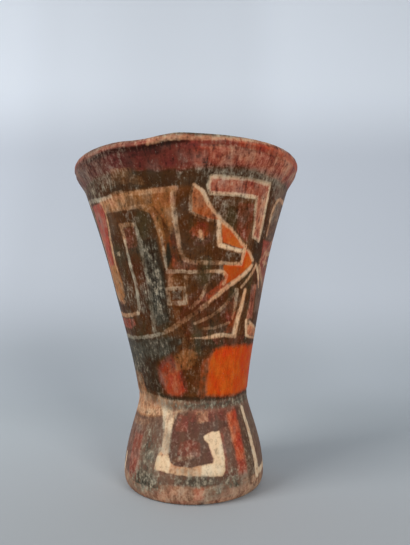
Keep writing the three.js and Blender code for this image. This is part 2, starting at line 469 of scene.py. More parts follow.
def turned_mesh(name, skins, poles):
    """A closed turned surface from its painted skin and its wiped one. A joint face runs from each skin's
    last row to the next one's first. With poles, the first and the last row close to a point each. Corners
    shade with the slope of the whole skin, so a piece's edge doesn't show on the finished wall."""
    points = np.concatenate([s.points for s in skins]).reshape(-1, 3)
    slope = np.concatenate([s.normal for s in skins]).reshape(-1, 3)
    surface = np.concatenate([[kind] * (len(s.points) - 1) + [JOINT] for kind, s in enumerate(skins)])
    heights = np.concatenate([[*np.diff(s.path), JOINT_STRIP] for s in skins])
    fields = {}
    for s in skins:
        shape = (len(s.rise), COLUMNS)
        sides = (WRAP_RADIUS * np.sin(turns), -WRAP_RADIUS * np.cos(turns), s.rise[:, None])
        wrap = np.stack([np.broadcast_to(side, shape) for side in sides], -1)
        fields.setdefault("wrap", []).append(wrap.reshape(-1, 3))
        for label, field in painted(s).items():
            fields.setdefault(label, []).append(field.ravel())
    fields = {label: np.concatenate(parts) for label, parts in fields.items()}

    rows = len(surface)
    column = np.arange(COLUMNS)
    beside = (column + 1) % COLUMNS
    lower = np.arange(rows - 1 if poles else rows)[:, None] * COLUMNS
    upper = (lower + COLUMNS) % (rows * COLUMNS)
    quads = np.stack([lower + column, lower + beside, upper + beside, upper + column], -1).reshape(-1, 4)
    kinds = np.repeat(surface[: len(lower)], COLUMNS)
    fans = np.empty((0, 3), int)
    if poles:
        first, last = column, column + (rows - 1) * COLUMNS
        centre = np.full(COLUMNS, rows * COLUMNS)
        fans = np.concatenate([
            np.stack([centre, beside, first], -1),
            np.stack([last, beside + (rows - 1) * COLUMNS, centre + 1], -1)])
        kinds = np.concatenate([kinds, np.repeat(surface[[0, -2]], COLUMNS)])
        ends = [first, last]
        points, slope = (np.concatenate([v, [v[e].mean(0) for e in ends]]) for v in (points, slope))
        fields = {label: np.concatenate([f, [f[e].mean(0) for e in ends]]) for label, f in fields.items()}

    mesh = bpy.data.meshes.new(name)
    mesh.vertices.add(len(points))
    mesh.vertices.foreach_set("co", points.astype(np.float32).ravel())
    mesh.loops.add(quads.size + fans.size)
    mesh.loops.foreach_set("vertex_index", np.concatenate([quads.ravel(), fans.ravel()]).astype(np.int32))
    mesh.polygons.add(len(quads) + len(fans))
    starts = np.concatenate([np.arange(len(quads)) * 4, quads.size + np.arange(len(fans)) * 3])
    mesh.polygons.foreach_set("loop_start", starts.astype(np.int32))
    mesh.polygons.foreach_set("material_index", kinds.astype(np.int32))
    mesh.update()
    mesh.shade_smooth()
    mesh.normals_split_custom_set_from_vertices(slope.tolist())

    around = 2 * math.pi * MOUTH_RADIUS
    height = heights.sum() + JOINT_STRIP + STRIP_GAP
    strips = max(1, round(math.sqrt(around / height)))
    strip, within = np.divmod(column, math.ceil(COLUMNS / strips))
    left = within * around / COLUMNS
    right = left + around / COLUMNS
    base = strip * height + (JOINT_STRIP if poles else 0)
    low = base + np.concatenate([[0], np.cumsum(heights)])[: len(lower), None]
    high = low + heights[: len(lower), None]
    left, right = np.broadcast_to(left, low.shape), np.broadcast_to(right, low.shape)
    u = np.stack([left, right, right, left], -1).ravel()
    v = np.stack([low, low, high, high], -1).ravel()
    if poles:
        middle = (left[0] + right[0]) / 2
        u = np.concatenate([u, np.stack([middle, right[0], left[0]], -1).ravel(),
                            np.stack([left[0], right[0], middle], -1).ravel()])
        v = np.concatenate([v, np.stack([base - JOINT_STRIP, base, base], -1).ravel(),
                            np.stack([high[-1], high[-1], high[-1] + JOINT_STRIP], -1).ravel()])
    side = max(around / strips + STRIP_GAP, strips * height)
    bake_map = np.stack([u, v], -1) / side
    mesh.uv_layers.new(name="OFBake").uv.foreach_set("vector", bake_map.astype(np.float32).ravel())

    for label, field in fields.items():
        kind, key = ("FLOAT_VECTOR", "vector") if field.ndim == 2 else ("FLOAT", "value")
        mesh.attributes.new(label, kind, "POINT").data.foreach_set(key, field.astype(np.float32).ravel())
    return mesh


def finish_piece(node, slot, *skins, poles=False):
    """Builds a piece from its painted skin and its wiped one, if it has one, and puts it in the frame."""
    mesh = turned_mesh(node, skins, poles)
    for material in WALL_MATERIALS:
        mesh.materials.append(material)
    piece = bpy.data.objects.new(node + "_clay", mesh)
    bpy.context.scene.collection.objects.link(piece)
    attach(piece, "root")
    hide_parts(node)


def new_group(name, inputs, outputs):
    """An empty node group, its input sockets and its output sockets. Each socket is a name and a value,
    which is a number, a vector of 3 or a colour of 4."""
    group = bpy.data.node_groups.new(name, "ShaderNodeTree")
    for way, sockets in (("INPUT", inputs), ("OUTPUT", outputs)):
        for label, value in sockets.items():
            kind = {1: "Float", 3: "Vector", 4: "Color"}[np.size(value)]
            made = group.interface.new_socket(label, in_out=way, socket_type="NodeSocket" + kind)
            if way == "INPUT":
                made.default_value = value
    return group, group.nodes.new("NodeGroupInput").outputs, group.nodes.new("NodeGroupOutput").inputs


BLANK = (0.0, 0.0, 0.0, 1.0)
NOWHERE = (0.0, 0.0, 0.0)
NOISE_GAIN = 10.0  # noise that lies between 0 and 1, mostly near the middle, comes to about -2 to 2

brush_noise, given, made = new_group(
    "brush_noise", {"Place": NOWHERE, "Across": 1.0, "Along": 1.0, "Detail": 2.0}, {"Value": 0.0})
grain = add_node(brush_noise, "CombineXYZ", {0: given["Across"], 1: given["Across"], 2: given["Along"]})
inputs = {0: given["Place"], 1: grain.outputs[0]}
stretched = add_node(brush_noise, "VectorMath", inputs, operation="DIVIDE")
inputs = {"Vector": stretched.outputs[0], "Scale": 1.0, "Detail": given["Detail"]}
noise = add_node(brush_noise, "TexNoise", inputs)
value = math_node(brush_noise, "MULTIPLY_ADD", noise.outputs["Fac"], NOISE_GAIN, -NOISE_GAIN / 2)
brush_noise.links.new(value, made["Value"])

SOFT_EDGE = 0.5  # millimetres over which a slip's edge thins out

slip_layer, given, made = new_group(
    "slip_layer", {"Under": BLANK, "Slip": BLANK, "Edge": 0.0, "Wear": 0.0},
    {"Colour": BLANK, "Cover": 0.0})
reach = math_node(slip_layer, "ADD", given["Edge"], given["Wear"])
cover = smooth_step(slip_layer, reach, -SOFT_EDGE, SOFT_EDGE)
slip_layer.links.new(mix_colour(slip_layer, cover, given["Under"], given["Slip"]), made["Colour"])
slip_layer.links.new(cover, made["Cover"])

RUSSET, OLIVE = paint(102, 60, 28), paint(70, 56, 30)  # how the fire has coloured bare clay
FILM, SCUFF, SOOT = paint(74, 71, 60), paint(170, 150, 128), paint(30, 23, 18)
CRUST_DARK, CRUST_PALE = paint(60, 54, 44), paint(152, 138, 116)
BURNISH_LOW, BURNISH_HIGH = 38.0, 52.0  # rises between which the upright burnishing strokes set in
FOOT_SOOT = 0.4  # share of the soot in the pits that the foot keeps
GLOSS = 0.96  # share of the scuffs, the soot and the fading that the glossy orange slip is spared

painted_clay, given, made = new_group(
    "painted_clay", {"Ground": BLANK, "Across": 0.7, "Along": 6.0},
    {"Colour": BLANK, "Roughness": 0.5, "Height": 0.0})
wrap = add_node(painted_clay, "Attribute", attribute_name="wrap").outputs["Vector"]
inputs = {0: add_node(painted_clay, "TexCoord").outputs["Object"], "Scale": METRE}
place = add_node(painted_clay, "VectorMath", inputs, operation="SCALE").outputs[0]


def noise_of(across, along, detail=2.0, at=place):
    """Noise inside the painted clay group, with grains of that size in millimetres."""
    inputs = {"Place": at, "Across": across, "Along": along, "Detail": detail}
    return add_node(painted_clay, "Group", inputs, node_tree=brush_noise).outputs[0]


def total(*terms, start=0.0):
    """A weighted sum inside the painted clay group. Each term is (output, weight)."""
    result = start
    for output, weight in terms:
        result = math_node(painted_clay, "MULTIPLY_ADD", output, weight, result)
    return result


def times(first, second):
    """A product inside the painted clay group."""
    return math_node(painted_clay, "MULTIPLY", first, second)


def mask(value, low, high):
    """0 under low and 1 over high, inside the painted clay group."""
    return smooth_step(painted_clay, value, low, high)


def attribute(name):
    """A field of the wall inside the painted clay group."""
    return add_node(painted_clay, "Attribute", attribute_name=name).outputs["Fac"]


def over(colour, share, top, strength=1.0):
    """Lays a top colour on, inside the painted clay group."""
    return mix_colour(painted_clay, times(share, strength), colour, top)


brushed = noise_of(given["Across"], given["Along"], 2.0, wrap)
mottled = noise_of(2.3, 2.3, 2.0, wrap)
rise = add_node(painted_clay, "SeparateXYZ", {0: wrap}).outputs["Z"]
burnished = add_node(painted_clay, "MapRange", {0: rise, 1: BURNISH_LOW, 2: BURNISH_HIGH}).outputs[0]
streak = total((burnished, math_node(painted_clay, "SUBTRACT", brushed, mottled)), start=mottled)
fine = noise_of(0.9, 0.9, 2.0)
coarse = noise_of(2.2, 2.6, 2.0, wrap)
blotch = noise_of(5.0, 7.0, 3.0, wrap)
fired = noise_of(13.0, 18.0, 3.0, wrap)
chips = mask(coarse, 1.7, 2.6)
wear = total((streak, 0.03), (fine, 0.02), (coarse, 0.035), (blotch, 0.065), (chips, -0.1))

# the slips, one over the other, on clay that the fire has coloured unevenly
colour = over(given["Ground"], mask(fired, 0.1, 1.6), RUSSET, 0.8)
colour = over(colour, mask(total((fired, -1.0)), 0.1, 1.6), OLIVE, 0.8)
for slip, slip_colour in SLIPS.items():
    inputs = {"Under": colour, "Slip": slip_colour, "Edge": attribute(slip), "Wear": wear}
    layer = add_node(painted_clay, "Group", inputs, node_tree=slip_layer)
    colour = layer.outputs["Colour"]
    if slip == "orange":
        glossy = layer.outputs["Cover"]

# what use and the ground have left on them: film, specks, scuffs, sooty pits and mineral crust
dull = total((glossy, -GLOSS), start=1.0)
film = mask(total((attribute("film"), 1.0), (coarse, 0.12), (blotch, 0.1), (streak, 0.1)), 0.1, 1.3)
colour = over(colour, film, FILM, 0.85)
speck = mask(noise_of(0.6, 1.6, 1.0, wrap), 2.0, 2.9)
colour = over(colour, speck, SCUFF, 0.45)
scuffed = total((streak, 0.5), (fine, 0.4), (coarse, 0.4), (blotch, 0.4), (attribute("rub"), 1.0))
scuff = mask(scuffed, 0.1, 2.8)
colour = over(colour, times(scuff, dull), SCUFF, 0.31)
pits = mask(total((streak, -0.55), (fine, -0.35), (coarse, -0.45), (attribute("dirt"), 1.0)), 0.3, 2.4)
soot = times(dull, total((burnished, 1 - FOOT_SOOT), start=FOOT_SOOT))
colour = over(colour, times(pits, soot), SOOT, 0.58)
flecks = total((coarse, 0.3), (fine, 0.15), (streak, 0.2), start=1.0)
crust = mask(times(attribute("crust"), flecks), 0.1, 1.2)
crust_pale = mask(total((fine, 0.3), (streak, 0.6), (coarse, 0.3), (blotch, 0.4)), -1.0, 2.3)
colour = over(colour, crust, mix_colour(painted_clay, crust_pale, CRUST_DARK, CRUST_PALE))

# slow changes of tone over all of it
stain = noise_of(6.0, 7.0, 5.0, wrap)
bright = total((streak, 0.05), (blotch, 0.05), (coarse, 0.05), (fine, 0.05), start=1.04)
fading = math_node(painted_clay, "MULTIPLY_ADD", stain, 0.09, 0.02, clamp=True)
toned = add_node(painted_clay, "HueSaturation", {
    "Hue": total((stain, 0.005), start=0.5), "Saturation": total((fading, times(dull, -1.0)), start=1.0),
    "Value": bright, "Color": colour})
painted_clay.links.new(toned.outputs[0], made["Colour"])
painted_clay.links.new(total((crust, 0.25), (scuff, 0.15), (fine, 0.03), start=0.46), made["Roughness"])
height = total((fine, 0.3), (streak, 0.15), (coarse, 0.2), (crust, 0.8), (pits, -0.6))
painted_clay.links.new(height, made["Height"])

BUMP_STRENGTH, BUMP_DEPTH = 0.6, 0.00006  # the depth of the fine unevenness is in metres
SPECULAR = 0.06


def clay_material(name, ground, across, along):
    """Slip-painted clay. The polishing strokes are that long and wide, in millimetres."""
    material, tree = new_material(name)
    inputs = {"Ground": ground, "Across": across, "Along": along}
    clay = add_node(tree, "Group", inputs, node_tree=painted_clay).outputs
    bump = add_node(tree, "Bump", {
        "Height": clay["Height"], "Strength": BUMP_STRENGTH, "Distance": BUMP_DEPTH})
    shader = add_node(tree, "BsdfPrincipled", {
        "Base Color": clay["Colour"], "Roughness": clay["Roughness"],
        "Normal": bump.outputs[0], "Specular IOR Level": SPECULAR})
    add_node(tree, "OutputMaterial", {0: shader.outputs[0]})
    return material


UMBER, INSIDE, BARE = paint(80, 43, 12), paint(104, 76, 60), paint(132, 96, 74)
WALL_MATERIALS = (  # of a painted skin, a wiped one and a joint face
    clay_material("polished_clay", UMBER, 0.9, 3.4),
    clay_material("wiped_clay", INSIDE, 9.0, 1.2),
    clay_material("bare_clay", BARE, 2.0, 2.0))

POLE_RING = 0.6  # radius of the smallest ring round a pole
EDGE_LENGTH = 9.0  # about the way round the disc's lower edge
EDGE_FADE = 4.0  # the relief grows from nothing over this rise above the table
CORNER_FADE = 6.0  # and the inside's grows over this way from the corner of the floor, up and inwards

corner_top = DISC_TOP + FLOOR_FILLET
corner_centre = float(inner_radius(corner_top)) - FLOOR_FILLET
FLOOR_RISE = INSIDE_RISE - corner_top + math.pi / 2 * FLOOR_FILLET


def disc_skin():
    """The disc from the middle of its underside, out and round its lower edge, to its top."""
    under = np.append(np.arange(-POLE_RING, CONTACT_RADIUS - COARSE / 2, 2 * POLE_RING), CONTACT_RADIUS)
    turn = np.linspace(-math.pi / 2, 0, math.ceil(EDGE_LENGTH / FINE))[1:]
    straight = EDGE_RISE + (DISC_TOP - EDGE_RISE) / 2 * np.array([1, 2, 3])
    edge = CONTACT_RADIUS + (FOOT_RADIUS - CONTACT_RADIUS) * np.cos(turn)
    radius = np.concatenate([under, edge, outer_radius(straight)])
    height = np.concatenate([under * 0, EDGE_RISE * (1 + np.sin(turn)), straight])
    rise = np.where(height > 0, height, radius - CONTACT_RADIUS)
    return Skin(radius, height, rise, lambda r: outside_relief(r) * smooth_share(r / EDGE_FADE)[:, None])


def floor_skin():
    """The disc's flat top from its edge to the middle, which is the floor inside."""
    radius = np.arange(outer_radius(DISC_TOP), POLE_RING, -2 * POLE_RING)
    radius = np.append(radius, (POLE_RING, -POLE_RING))
    height = np.full_like(radius, DISC_TOP)
    even = smooth_share((corner_centre - radius) / CORNER_FADE)[:, None]
    return Skin(radius, height, FLOOR_RISE + corner_centre - radius, lambda r: inside_relief(r) * even)


# brown slip from the edge up to the waist, and where it is stained or worn through
ring("brown", -5, 46, soft=3)
ring("buff", 1, 8.5, soft=3, cover=-0.17)
patch("red", [(-62, 1.5), (-38, 2), (-20, 3), (-13, 5.5), (-17, 9), (-30, 7.5), (-50, 7)], 2.5, -0.2)
patch("red", [(0, 3), (6.5, 3), (7.5, 8.6), (-0.5, 9)], 1.8, 0.3)
patch("red", [(-44, 0.8), (34, 0.8), (34, 2.4), (-44, 2.4)], 1.2, -0.12)
patch("bone", [(9, 3.2), (16, 3.2), (17, 6), (10, 6.5)], 2, -0.25)
patch("maroon", [(17, 3), (75, 2), (75, 9), (17, 9)], 2.5, -0.22)
patch("black", [(45, 2), (75, 2), (75, 9), (45, 9)], 3, -0.2)
patch("red", [(20, 5), (31, 4), (30, 9), (22, 10)], 2, -0.1)
patch("maroon", [(-12, 5.5), (0, 5.5), (0, 9.5), (-12, 9.5)], 2, -0.1)
patch("maroon", [(0, 3.5), (7, 3.5), (7.5, 7.6), (1, 8)], 1.8, -0.1)
patch("black", [(-50, 5), (-22, 6.5), (-22, 10), (-50, 10)], 2, -0.26)
patch("black", [(8, 7), (24, 6), (46, 6), (46, 10), (8, 10)], 2, -0.3)

# crust, rubbed places, dirt and film
cloud("crust", (-36, 7.5, 14, 2.5, 0.6), (16, 6, 10, 3, 0.6), (36, 8, 14, 2.5, 0.5), (-45, 5, 22, 3, 0.6))
cloud("rub", (-46, 6, 22, 4, 1.2), (18, 5, 22, 3.5, 1.1), (30, 5, 20, 4, 0.9), (0, 18, 400, 22, 0.3),
      (0, 5, 400, 5, 0.35), (35, 10, 14, 3.5, 1.5), (-46, 4.5, 20, 3, 0.6))
cloud("dirt", (58, 6, 12, 4, 0.8))

finish_piece("base_disc", "bare_clay", disc_skin(), floor_skin(), poles=True)

# Foot coils
# Two flattened coils, luted on the disc and drawn in to the waist. The first is smeared over the floor.
# Outside, cream brackets were brushed on brown slip, with dark and orange-red stripes between them.

# bracket at the front
patch("buff", [
    (-25.5, 42), (-26.2, 31), (-25.8, 24.5), (-29.6, 21.6), (-31.6, 15.4), (-20, 14.7), (-8, 14), (8, 13.7),
    (21.5, 13), (23.8, 15), (24.3, 20), (22.6, 32), (12.5, 31.4), (8.6, 30.2), (9.2, 28.7), (12.3, 27),
    (15.4, 20.5), (15.2, 18.6), (8, 18.3), (-4, 17.3), (-15, 17.6), (-19, 19.2), (-20.6, 22), (-20.2, 30),
    (-18, 41)], 1, 0.17)
stroke("bone", [(-25, 41), (-23.3, 33), (-22.8, 24)], [5, 4, 3.4], 1.4, -0.02)
stroke("cream", [(-28, 16.6), (-14, 15.4), (8, 14.8), (20, 14.8)], [2, 1.6, 1.6, 2], 1.2, -0.25)
patch("cream", [
    (5, 13.7), (21.5, 13), (23.8, 15), (24.3, 20), (22.6, 32), (12.5, 31.4), (8.6, 30.2), (9.2, 28.7),
    (12.3, 27), (15.4, 20.5), (15.2, 18.6), (6, 18.2)], 1.1, 0.6)
patch("cream", [(-29.6, 21.6), (-31.6, 15.4), (-20, 14.7), (-18, 17.5), (-20.6, 22)], 1.3, 0.35)
patch("cream", [(-32, 42), (-28, 38), (-25, 33.5), (-21, 33), (-19, 36.5), (-15, 41)], 2, -0.1)
patch("red", [(-12, 23), (4, 22.5), (5, 27), (-3, 28.5), (-10, 27.5)], 2.5, -0.15)
patch("red", [(-15, 33), (-7, 33), (-5, 38.5), (-13, 39)], 2.5, -0.12)
stroke("buff", [(-15, 19.8), (-8, 21.3), (-1, 22)], [0.5, 0.9, 0.3], 1.3, -0.27)

# stripes and a bracket to its right
patch("red", [(23.5, 14), (26, 14), (26, 30), (24.5, 31)], 1.6, -0.05)
patch("maroon", [(-20, 17), (18, 17), (18, 31), (26, 34), (50, 32), (50, 40), (-20, 40)], 3, -0.12)
patch("black", [(-20, 17), (18, 17), (18, 31), (26, 34), (44, 32), (44, 40), (-20, 40)], 3, 0)
patch("maroon", [(24, 12), (34, 12), (34, 34), (26, 34)], 3, -0.05)
patch("ochre", [(26, 14), (33, 14), (33, 32), (26, 32)], 3, -0.4)
patch("red", [(35.5, 12), (43.5, 12), (44.8, 40), (34.2, 39)], 2.2, 0.5)
patch("orange", [(36, 19), (43.5, 19), (44.8, 39), (35, 38)], 4, -0.05)
patch("buff", [(36, 14), (43.5, 14), (44.8, 39), (35, 38)], 3, -0.38)
patch("black", [(45.5, 8), (55, 8), (55, 40), (46, 41)], 3, 0)
patch("ochre", [(46, 10), (55, 10), (55, 40), (46, 40)], 3, -0.38)
patch("black", [(-14, 10.5), (24, 9.8), (26, 12.5), (5, 13.6), (-12, 13.9)], 3, -0.1)
for slip, cover in (("buff", 3), ("bone", 0.0), ("cream", -0.2)):
    stroke(slip, [(58.3, 9), (58.3, 24), (58, 39.5)], [3.2, 2.9, 2], 1, cover)
    stroke(slip, [(58.3, 9.6), (75, 9.6), (104.5, 9.3), (105.5, 16)], 2.4, 1, cover)
patch("black", [(61, 12), (100, 12), (100, 40), (61, 40)], 2.5, -0.17)

# stripes to its left
patch("red", [(-60, 7), (-47, 7), (-50, 28), (-62, 28)], 2.5, 0.05)
patch("maroon", [(-66, 8), (-48, 8), (-50, 30), (-68, 30)], 3, 0)
patch("black", [(-46, 12), (-28, 14), (-27, 37), (-50, 37), (-48, 30)], 3, -0.24)
patch("black", [(-80, 36), (-44, 36), (-42, 38.4), (-80, 38.4)], 2.6, -0.2)
stroke("buff", [(-80, 33.4), (-60, 33.6), (-47, 34.6)], [1.8, 1.6, 0.8], 1.6, -0.28)
patch("maroon", [(-80, 10), (-60, 10), (-60, 31), (-80, 31)], 3, -0.1)
patch("bone", [(-48, 10), (-30, 10), (-30, 26), (-48, 26)], 4, -0.26)

# crust, rubbed places, dirt and film
cloud("crust", (-23, 28, 5, 6, 0.55), (-8, 16, 14, 2, 0.4), (-39, 20, 9, 13, 0.95), (-42, 10, 15, 4, 0.9),
      (2, 11.3, 20, 3, 0.8), (0, 26, 13, 9, 0.3), (-12, 21, 5, 3, 0.5), (30, 12, 7, 9, 0.55),
      (50, 18, 6, 12, 0.35))
cloud("rub", (-58, 18, 12, 12, 0.6), (-38, 20, 8, 10, 1.2))
cloud("dirt", (-22.5, 32, 3, 10, 1.0), (-21.5, 28, 2, 6, 0.8), (-34, 36, 7, 5, 1.0),
      (-6, 16.2, 18, 2.2, 1.2), (50, 26, 5, 12, 0.7), (72, 26, 9, 12, 0.5))
cloud("film", (-39, 21, 9, 14, 0.5), (4, 11.3, 22, 2.4, 0.9), (-36, 8, 14, 2.5, 0.7))


def coil_skins(node, above, lip_joint=None):
    """A coil's outside and inside skins, between its own joint and the one under the coil above it."""
    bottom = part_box(node)[0].z * METRE
    top = lip_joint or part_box(above)[0].z * METRE
    return outside_skin(bottom, top), inside_skin(top + JOINT_SLANT, bottom + JOINT_SLANT)


CORNER_STEPS = 8  # rows over the quarter round
SPARE = 1.0  # the spare row lies this far in on the floor


def fillet_skin(top):
    """The inside of the first coil, which ends in a quarter round on the floor."""
    step = (top - corner_top) / math.ceil((top - corner_top) / COARSE)
    straight = np.arange(top + step, corner_top - step / 2, -step)
    turn = np.linspace(0, math.pi / 2, CORNER_STEPS)[1:]
    corner = corner_centre + FLOOR_FILLET * np.cos(turn)
    radius = np.concatenate([inner_radius(straight), corner, [corner_centre - SPARE]])
    height = np.concatenate([straight, corner_top - FLOOR_FILLET * np.sin(turn), [DISC_TOP]])
    rise = np.concatenate([INSIDE_RISE - straight, INSIDE_RISE - corner_top + FLOOR_FILLET * turn,
                           [FLOOR_RISE + SPARE]])
    even = smooth_share((height - DISC_TOP) / CORNER_FADE)[:, None]
    return Skin(radius, height, rise, lambda r: inside_relief(r) * even)


outside = coil_skins("foot_coil_1", "foot_coil_2")[0]
inside = fillet_skin(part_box("foot_coil_1")[1].z * METRE)
finish_piece("foot_coil_1", "foot_slip", outside, inside)

# top of the bracket and the lines beside it
patch("buff", [
    (-82, 37.5), (-52, 38), (-36, 38.5), (-28, 40), (-18, 40.5), (-12, 41.5), (-13, 44.5), (-25, 46),
    (-45, 47.5), (-62, 48.5), (-82, 47.5)], 3, -0.03)
patch("ochre", [(-82, 37), (-40, 37.5), (-30, 39), (-20, 44), (-40, 46), (-82, 46)], 3, 0)
patch("red", [(-70, 39.5), (-50, 40), (-46, 46), (-60, 46.5)], 3, -0.1)
stroke("cream", [(-80, 38.8), (-56, 39), (-40, 39.6), (-30, 40)], [1, 1.2, 1.4, 2], 1.6, -0.2)
patch("cream", [(-14, 41.5), (-5, 42), (-5, 44), (-14, 44)], 2, -0.35)
patch("cream", [(-30, 40.5), (-12, 39), (-4, 41), (-4, 44.5), (-24, 46.5)], 2, -0.38)
patch("red", [(-4, 37.5), (44, 36.5), (45, 41), (-4, 41.5)], 2.2, -0.2)
patch("buff", [(4, 36.5), (13, 37), (13, 40.5), (4, 40.5)], 2, -0.2)

# crust, rubbed places, dirt and film
cloud("crust", (-40, 45, 16, 3, 0.3), (-14, 43.4, 12, 2.6, 0.6), (-24, 42.5, 8, 2, 0.35),
      (-40, 46, 18, 2.5, 0.4))
cloud("rub", (-44, 43, 24, 5, 0.5))
cloud("dirt", (-48, 42, 22, 5, 0.7), (-24, 42, 8, 2.5, 0.8))

finish_piece("foot_coil_2", "foot_slip", *coil_skins("foot_coil_2", "waist_coil"))

# Waist coil
# One stout coil, pinched to the narrowest ring. Dark slip lines it above a greyed band, and the band of
# orange panels starts over it.

# dark line and the band of panels
stroke("black", [(-33, 47.8), (-15, 46.9), (5, 46.7), (40, 46.4), (95, 46.8), (120, 48)], 1.7, 1.6, 0.15)
ring("black", 71, 76, 2, -0.1)
patch("black", [
    (-86, 50.5), (-60, 50.5), (-34, 49), (-30, 53), (-34, 61), (-28, 66), (-14, 70), (-4, 76), (-86, 76)],
    3.5, 0.2)
patch("ochre", [(-76, 49), (-54, 49), (-58, 57), (-76, 58)], 3, 0)
patch("red", [
    (-31, 61.5), (-25, 64.5), (-18, 67.5), (-12, 64), (-9, 57), (-7, 51), (-11, 48.7), (-24, 49.2),
    (-27, 53), (-30.5, 56)], 4, 0.2)
patch("orange", [(-27, 60), (-20, 64), (-13, 60), (-8, 51), (-14, 49), (-24, 50)], 3, -0.05)
patch("wine", [(-31, 56), (-30, 49), (-8, 48), (-8, 51), (-24, 52), (-27, 58)], 2.5, -0.2)
patch("wine", [(-31, 61), (-18, 67.5), (-12, 65), (-16, 60), (-26, 58)], 3, -0.05)
stroke("buff", [(-19, 59), (-15, 54), (-13.5, 50.5)], [1, 2, 1], 2, -0.37)
coats(patch, [(-13, 61), (-14, 66.5), (-6, 70), (3, 69), (2, 64), (-6, 62)],
      ("ochre", 3.5, -0.05), ("orange", 3.5, -0.35))
patch("ochre", [(-4, 70), (2, 70), (1, 75.5), (-5, 75.5)], 3, -0.3)
patch("orange", [(8, 48.5), (13, 48.2), (17, 68), (12, 64), (10, 57)], 5, -0.2)
patch("orange", [
    (12, 48.2), (40, 47.3), (70, 47.6), (91, 48.2), (91.5, 60), (90, 69), (84, 71), (60, 70.8), (45, 71.6),
    (26, 71.4), (18.5, 70), (14.5, 65.5), (14, 58), (12, 53)], 3.2, 1.2)
patch("wine", [(6, 49), (16, 48), (20, 62), (22, 71), (8, 71)], 4, -0.36)
patch("red", [(18, 76), (50, 75.5), (50, 71), (24, 71)], 2, -0.22)
patch("wine", [(16, 76), (50, 75.5), (50, 72.5), (22, 72.5)], 2, -0.3)
patch("wine", [(46, 48), (100, 48), (100, 73), (50, 73)], 5, -0.35)
patch("wine", [(-31, 61), (-18, 67.5), (-10, 62), (-7, 51), (-24, 49)], 3, -0.18)

# crust, rubbed places, dirt and film
cloud("crust", (12, 43.6, 20, 2, 0.95), (45, 43.6, 20, 2, 0.95), (75, 43.6, 20, 2, 0.95),
      (-62, 62, 18, 12, 0.5), (-30, 71, 16, 5, 0.4))
cloud("rub", (-68, 56, 16, 7, 1.7), (-18, 57, 11, 9, -0.9))
cloud("film", (-66, 66, 22, 9, 1.2), (-30, 71, 22, 5, 0.9))

finish_piece("waist_coil", "waist_slip", *coil_skins("waist_coil", "wall_coil_1"))

# Wall coils
# Five flattened coils, beaten thin and flared outwards. They carry the main figures, outlined in cream over
# umber slip: a hooked frame, a stepped wing that ends in an arrow, and the same arrow turned round.
FIGURE_MIDDLE = 52.3  # the two arrows meet here, tip to tip
FACING_COVER = 0.25  # the most that a slip of the facing arrow covers, before its wear
PALE_WEAR, DARK_WEAR = 0.3, 0.2  # how much less its pale and its dark slips cover


def both_arrows(brush, slip, points, *rest):
    """Draws a mark of the arrow, and its mirror image in the arrow that faces it, redder and more worn."""
    brush(slip, points, *rest)
    *rest, cover = rest
    facing = "red" if slip == "orange" else slip
    worn = PALE_WEAR if slip in ("buff", "cream") else DARK_WEAR
    brush(facing, [(2 * FIGURE_MIDDLE - a, z) for a, z in points], *rest, min(cover, FACING_COVER) - worn)


# ground of the field
patch("black", [
    (-54, 135.3), (-17.9, 134.8), (-14.8, 111.5), (-12, 83.5), (-30, 77.5), (-78, 77.5), (-78, 91.5),
    (-52, 95.5)], 3, -0.15)
patch("black", [(-90, 138), (-76, 138), (-74, 118), (-73, 94), (-80, 90), (-90, 90)], 2, 0.2)
patch("maroon", [(20, 105), (8, 98), (-4, 92), (-4, 79), (36, 79), (36, 98), (30, 101)], 3.5, -0.25)

# hooked frame
stroke("bone", [(-77, 144.8), (-69, 144.5), (-59, 143.2), (-49, 142.3), (-43, 142.5)],
       [1.4, 1.4, 1.2, 1, 0.8], 1.1, -0.12)
stroke("buff", [(-43, 142.5), (-37, 143.7), (-29, 142.2), (-19, 142), (-11, 142.4), (-5.3, 142.6)],
       [0.8, 0.8, 0.8, 0.9, 1.2, 1.4], 1.3, -0.22)
patch("ochre", [(-55, 142.5), (-6, 143), (-7, 136.3), (-17, 135.8), (-21, 136.1), (-53, 136.6)], 2, 0)
patch("buff", [(-55, 142), (-33, 141.5), (-33, 137.4), (-53, 137.4)], 2.5, -0.1)
patch("ochre", [(-21, 140), (-7, 142), (-7, 130), (-9, 124), (-12, 130), (-16, 135.3), (-20, 137.4)],
      2.5, 0)
patch("orange", [(-19, 139.5), (-9, 141), (-8, 128), (-11, 128), (-13.9, 134.2)], 3, -0.32)
patch("black", [(-22, 143), (-14, 143), (-12, 140.5), (-20, 140)], 2, -0.2)
stroke("buff", [(-52, 136.2), (-34, 136.4), (-23, 136)], [0.8, 0.8, 0.9], 1.3, -0.15)
stroke("ochre", [(-26, 136), (-18.4, 134.2), (-15.5, 129.5), (-14.6, 121.5), (-14.2, 114.5)],
       [1, 2.2, 3, 2.2, 1.2], 1.3, -0.05)
stroke("buff", [(-17, 131), (-14.6, 121.5), (-14.2, 114.5), (-13.4, 107.5)], [0.8, 1, 1, 0.8], 1, -0.33)
stroke("bone", [(-14.8, 122), (-14.1, 114.5), (-13.5, 107.5)], [0.4, 0.8, 0.6], 1, -0.14)
stroke("buff", [(-6, 142.6), (-6.6, 135.8), (-5.9, 127.5), (-4.7, 120.5), (-3.8, 115)],
       [1.7, 1.7, 1.5, 1.4, 1.1], 1.1, -0.14)
stroke("bone", [(-6.4, 141), (-6.6, 135.8), (-5.9, 127.5)], [0.6, 1.1, 0.8], 1.1, -0.3)
stroke("buff", [(-3.8, 115), (-2.3, 112.5), (1.2, 111.2), (7.2, 110.6), (15.2, 110.4), (23.2, 110.4)],
       [1.1, 0.9, 0.9, 1, 1, 1], 1.2, -0.24)
